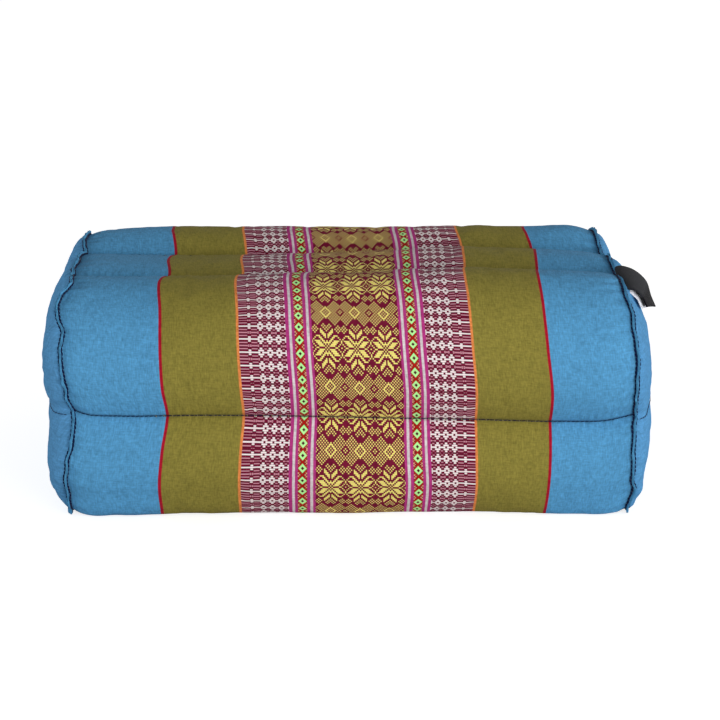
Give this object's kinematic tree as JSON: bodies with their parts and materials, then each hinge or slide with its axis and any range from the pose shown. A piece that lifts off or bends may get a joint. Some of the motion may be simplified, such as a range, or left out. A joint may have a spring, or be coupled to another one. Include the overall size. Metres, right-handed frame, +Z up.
{
  "type": "zafu block cushion",
  "caption": "Rectangular filled floor cushion with rows of sewn tubes, plain bulging end panels, turned-out end seams and a bare folded label.",
  "frame": {"origin": "under the middle of the whole cushion's bounding box, on the surface it rests on", "axes": "+X along the length, to the right as seen from the front, +Y to the back, +Z up"},
  "size_m": [0.3508, 0.1994, 0.1332],
  "materials": {
    "woven_wrap": "closely woven striped cotton, matt, with a blue ground, olive bands and a patterned middle",
    "plain_cloth": "plain blue woven cotton, matt",
    "seam_cloth": "turned-out blue cotton seam allowance, matt, with dark blue stitching",
    "label_ribbon": "black woven ribbon with a slight sheen, bare",
    "white_ribbon": "thin white ribbon, bare"
  },
  "bodies": {
    "root": {"cushion_body": "woven_wrap", "end_panel_left": "plain_cloth", "end_panel_right": "plain_cloth", "edge_ridge_left": "seam_cloth", "edge_ridge_right": "seam_cloth", "label": "label_ribbon", "under_label": "white_ribbon"}
  },
  "joints": []
}
